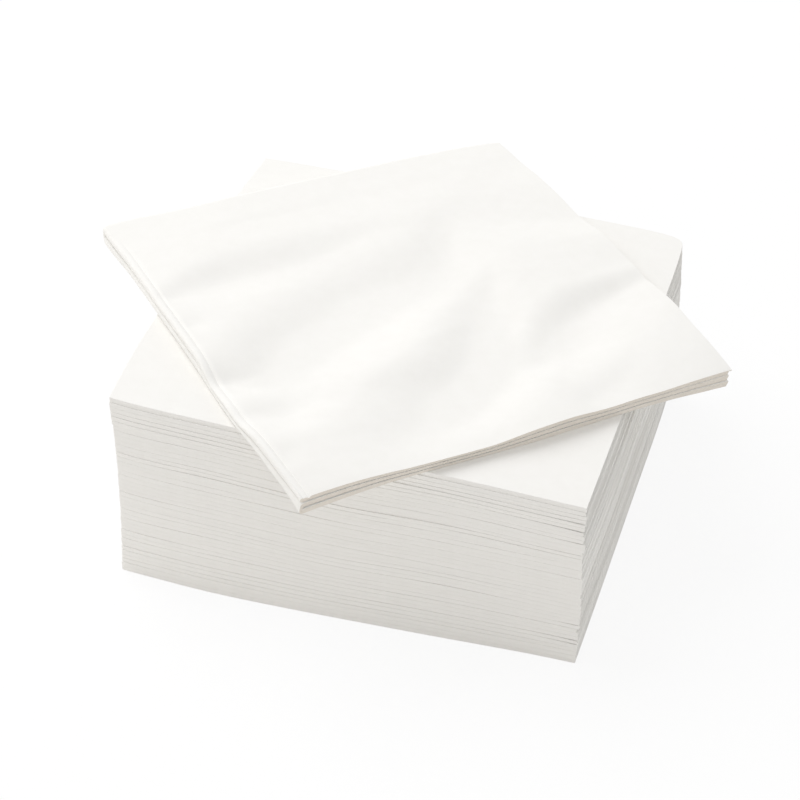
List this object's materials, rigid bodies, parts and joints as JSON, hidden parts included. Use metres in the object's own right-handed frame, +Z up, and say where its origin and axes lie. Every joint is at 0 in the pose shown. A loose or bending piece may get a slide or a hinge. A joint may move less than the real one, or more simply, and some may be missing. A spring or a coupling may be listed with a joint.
{
  "type": "stack of paper napkins",
  "caption": "Straight block of square paper napkins, each folded in four, with a loose napkin lying turned on top.",
  "frame": {"origin": "middle of the block's base, on the face that it rests on", "axes": "+Z up; the second folds face -Y, which is the front; the first folds face -X"},
  "size_m": [0.2339, 0.234, 0.0806],
  "materials": {
    "tissue": "matt, soft, finely creped"
  },
  "bodies": {
    "root": {"napkin_01": "tissue", "napkin_02": "tissue", "napkin_03": "tissue", "napkin_04": "tissue", "napkin_05": "tissue", "napkin_06": "tissue", "napkin_07": "tissue", "napkin_08": "tissue", "napkin_09": "tissue", "napkin_10": "tissue", "napkin_11": "tissue", "napkin_12": "tissue", "napkin_13": "tissue", "napkin_14": "tissue", "napkin_15": "tissue", "napkin_16": "tissue", "napkin_17": "tissue", "napkin_18": "tissue", "napkin_19": "tissue", "napkin_20": "tissue", "napkin_21": "tissue", "napkin_22": "tissue", "napkin_23": "tissue", "napkin_24": "tissue", "napkin_25": "tissue", "napkin_26": "tissue", "napkin_27": "tissue", "napkin_28": "tissue", "napkin_29": "tissue", "napkin_30": "tissue", "napkin_31": "tissue", "napkin_32": "tissue", "napkin_33": "tissue", "napkin_34": "tissue", "napkin_35": "tissue", "napkin_36": "tissue", "napkin_37": "tissue", "napkin_38": "tissue", "napkin_39": "tissue", "napkin_40": "tissue", "loose_napkin": "tissue"}
  },
  "joints": []
}
